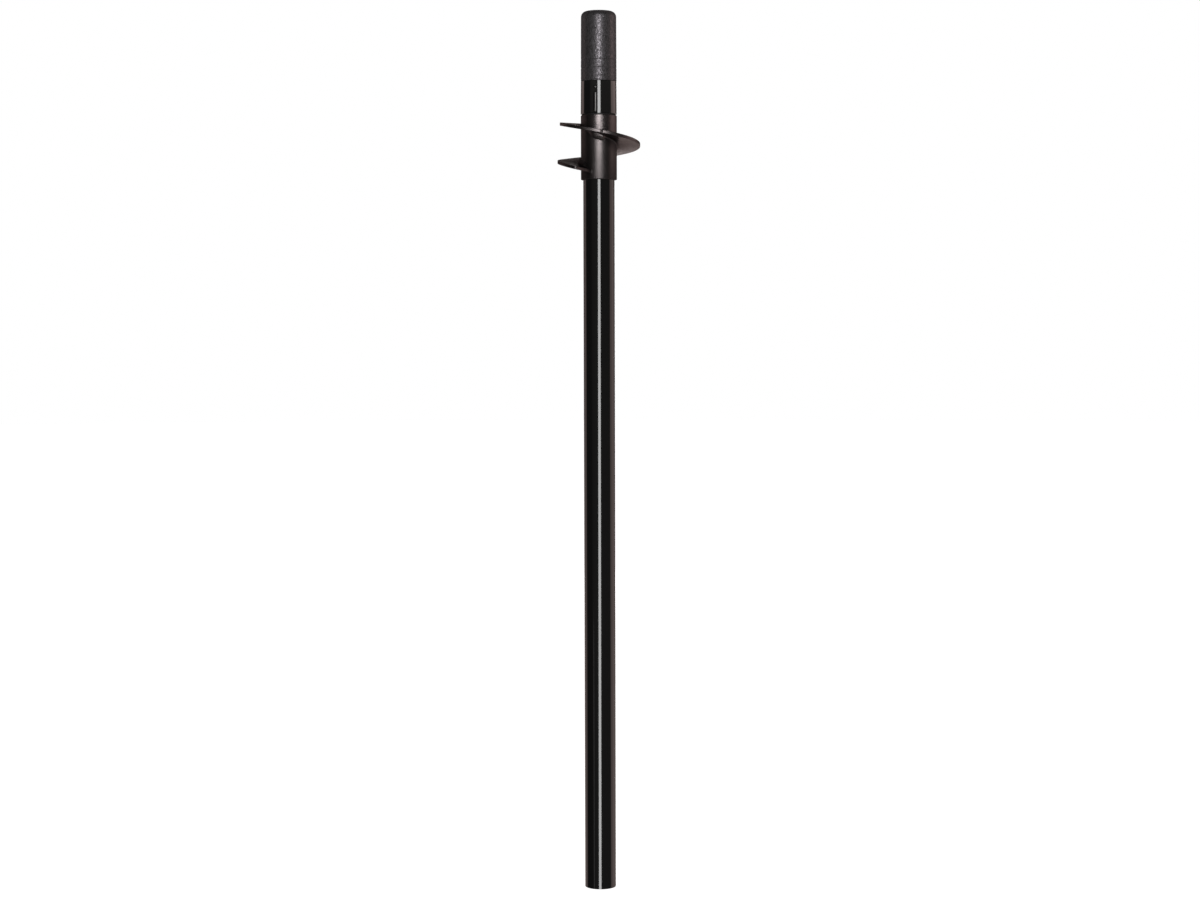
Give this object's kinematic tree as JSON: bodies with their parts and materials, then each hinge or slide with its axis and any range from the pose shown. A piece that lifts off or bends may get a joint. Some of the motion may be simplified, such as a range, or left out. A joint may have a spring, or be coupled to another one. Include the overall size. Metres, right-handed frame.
{
  "type": "tiki torch ground pole",
  "caption": "Ground section of a tiki torch pole: a gloss tube with a screw-in auger, a keyed sleeve and a pull-off cap over the ground point.",
  "frame": {"origin": "centre of the joint end's rim, at the opposite end from the auger", "axes": "+Z along the pole from the joint end to the ground end, -Y to the front, where the drive key and the lock pin are"},
  "size_m": [0.0834, 0.0834, 0.889],
  "materials": {
    "gloss_black_paint": "gloss",
    "satin_auger_paint": "satin, faintly textured",
    "cap_rubber": "matte, finely grained",
    "black_rubber": "matte",
    "zinc_steel": "zinc plated",
    "black_steel": "gloss black oxide",
    "spring_steel": "bright",
    "cast_point": "as cast, dark"
  },
  "bodies": {
    "pole": {"pole_tube": "gloss_black_paint", "auger_collar": "satin_auger_paint", "auger_flight": "satin_auger_paint", "collar_screw_lower": "zinc_steel", "collar_screw_upper": "zinc_steel", "spacer_ring": "black_rubber", "lock_sleeve": "gloss_black_paint", "drive_key": "black_steel", "lock_pin": "black_steel", "ground_point": "cast_point", "cap_o_ring": "black_rubber", "button_spring": "spring_steel"},
    "cap": {"tip_cap": "cap_rubber", "cap_disc": "zinc_steel"},
    "button": {"snap_button": "zinc_steel"}
  },
  "joints": [
    {"name": "cap_pull", "type": "slide", "parent": "pole", "child": "cap", "axis": [0, 0, 1], "range_m": [0, 0.07]},
    {"name": "button_press", "type": "slide", "parent": "pole", "child": "button", "axis": [0, -1, 0], "range_m": [0, 0.0042], "stiffness_N_per_m": 1500, "springref_m": -0.002, "deforming": ["button_spring"]}
  ]
}
